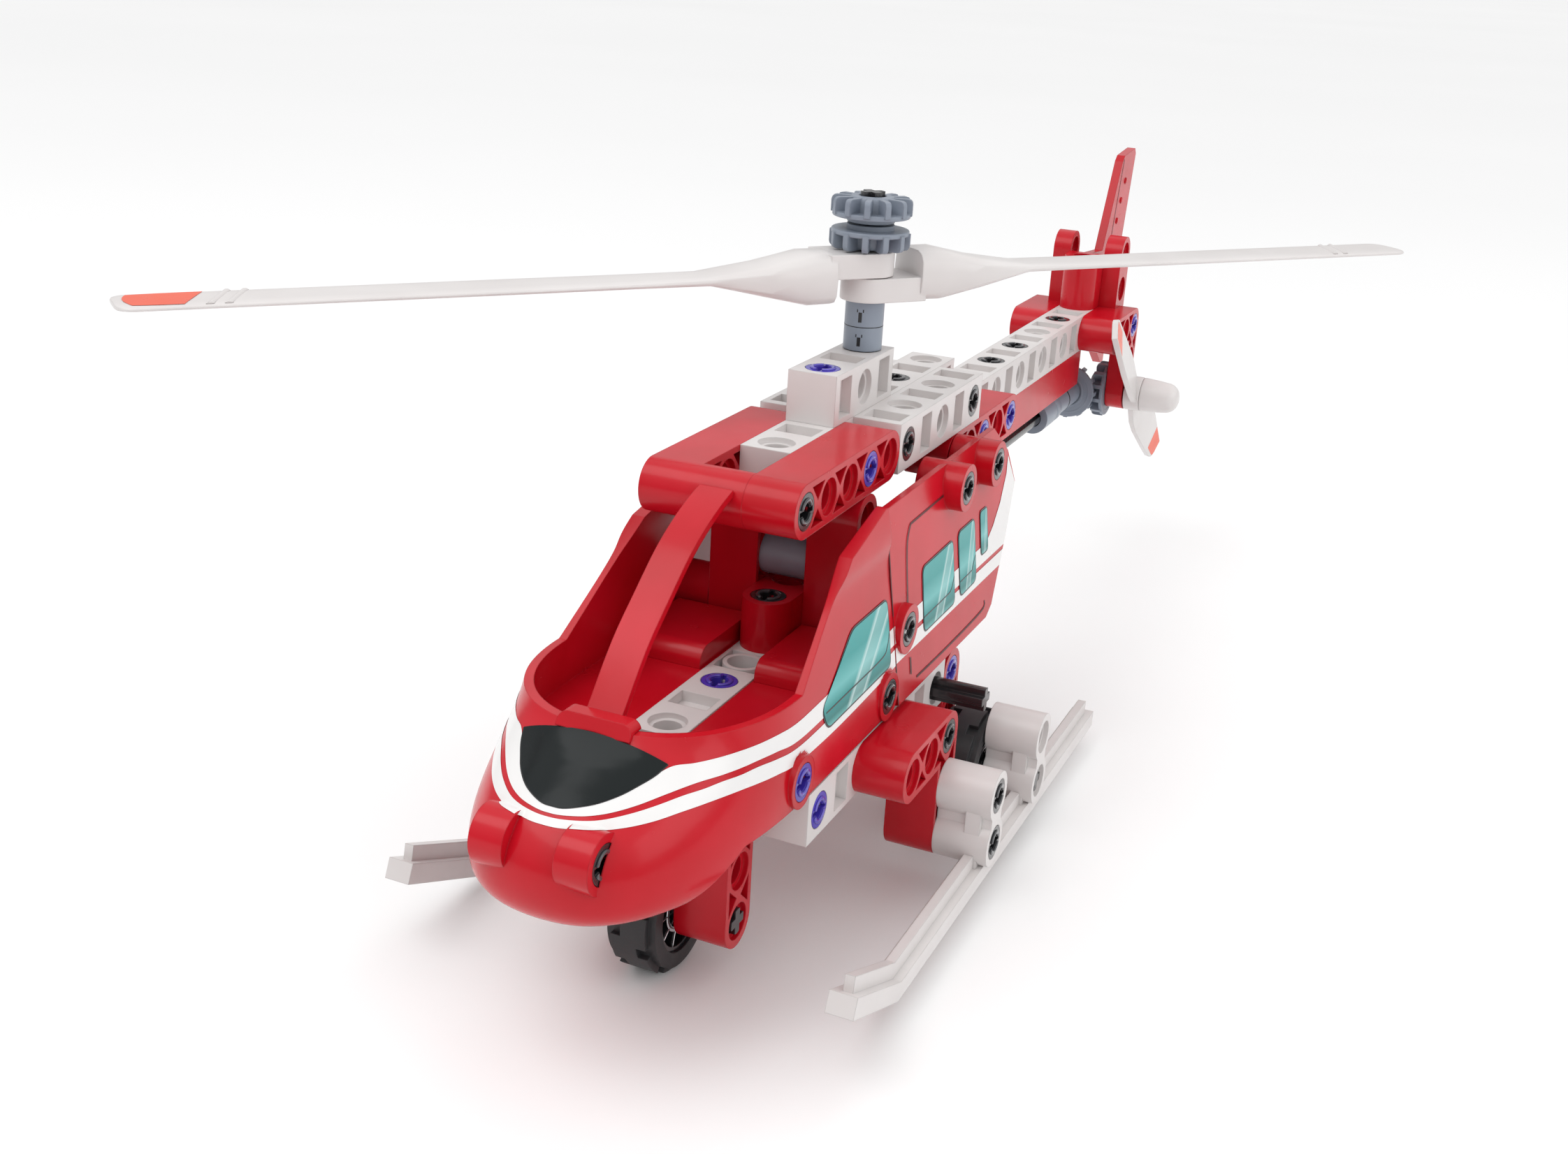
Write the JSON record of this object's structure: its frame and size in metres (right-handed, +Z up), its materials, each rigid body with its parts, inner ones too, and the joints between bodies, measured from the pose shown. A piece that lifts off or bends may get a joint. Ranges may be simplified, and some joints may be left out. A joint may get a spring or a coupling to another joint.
{
  "type": "toy helicopter",
  "caption": "Peg-and-beam construction toy helicopter with geared main and tail rotors, open cabin, nose wheel, rear wheels and skids.",
  "frame": {"origin": "on the ground plane under the wheels, at the middle of the model's length and width", "axes": "+X towards the nose, +Y to the helicopter's left, +Z up; the main rotor turns about +Z"},
  "size_m": [0.3442, 0.1822, 0.1287],
  "materials": {
    "red": "gloss",
    "white": "satin",
    "grey": "satin",
    "black": "gloss",
    "blue": "gloss",
    "tyre": "matt"
  },
  "bodies": {
    "airframe": {"black_pegs": "black", "blue_pegs": "blue", "boom_beam": "white", "boom_liftarms": "red", "boom_under_beam": "red", "cabin_columns": "red", "cabin_shell": "red", "chassis_rails": "red", "cross_bushing": "grey", "fixed_cross_axles": "black", "floor_beam": "white", "floor_end_beam": "white", "floor_riser": "red", "keel_beam": "white", "lower_beam_left": "white", "lower_beam_right": "white", "mast_block": "white", "nose_bracket_left": "red", "nose_bracket_right": "red", "rear_links": "red", "seat_pads": "red", "shaft_hangers": "grey", "side_beam_left": "white", "side_beam_right": "white", "side_panel_left": "red", "side_panel_right": "red", "skid_bracket_left": "red", "skid_bracket_right": "red", "skid_left": "white", "skid_right": "white", "spine_beam": "white", "tail_bracket_left": "red", "tail_bracket_right": "red", "tail_fin": "red", "tail_posts": "red", "top_beam_left": "red", "top_beam_right": "red", "windscreen_arch": "red"},
    "main_rotor": {"mast_axle": "black", "mast_bushings": "grey", "mast_crown_gears": "grey", "rotor_blade_a": "white", "rotor_blade_b": "white"},
    "drive_train": {"drive_shaft": "black", "shaft_crown_gears": "grey", "shaft_coupler": "grey"},
    "tail_rotor": {"tail_axle": "black", "tail_crown_gear": "grey", "tail_rotor": "white", "tail_spinner": "white"},
    "nose_wheel": {"nose_axle": "black", "nose_rim": "black", "nose_tyre": "tyre"},
    "rear_left_wheel": {"rear_left_axle": "black", "rear_left_rim": "black", "rear_left_tyre": "tyre"},
    "rear_right_wheel": {"rear_right_axle": "black", "rear_right_rim": "black", "rear_right_tyre": "tyre"}
  },
  "joints": [
    {"name": "main_rotor_spin", "type": "hinge", "parent": "airframe", "child": "main_rotor", "pos_m": [0.04706, 0, 0.0825], "axis": [0, 0, 1], "continuous": true},
    {"name": "drive_shaft_spin", "type": "hinge", "parent": "airframe", "child": "drive_train", "pos_m": [-0.01294, 0, 0.0525], "axis": [1, 0, 0], "continuous": true},
    {"name": "tail_rotor_spin", "type": "hinge", "parent": "airframe", "child": "tail_rotor", "pos_m": [-0.13294, 0, 0.0525], "axis": [0, 1, 0], "continuous": true},
    {"name": "nose_wheel_spin", "type": "hinge", "parent": "airframe", "child": "nose_wheel", "pos_m": [0.12706, 0, 0.0125], "axis": [0, 1, 0], "continuous": true},
    {"name": "rear_left_wheel_spin", "type": "hinge", "parent": "airframe", "child": "rear_left_wheel", "pos_m": [0.04706, 0.03, 0.0125], "axis": [0, 1, 0], "continuous": true},
    {"name": "rear_right_wheel_spin", "type": "hinge", "parent": "airframe", "child": "rear_right_wheel", "pos_m": [0.04706, -0.03, 0.0125], "axis": [0, 1, 0], "continuous": true}
  ],
  "couplings": [
    {"joint": "drive_shaft_spin", "follows": "main_rotor_spin", "ratio": 1},
    {"joint": "tail_rotor_spin", "follows": "main_rotor_spin", "ratio": -1}
  ]
}
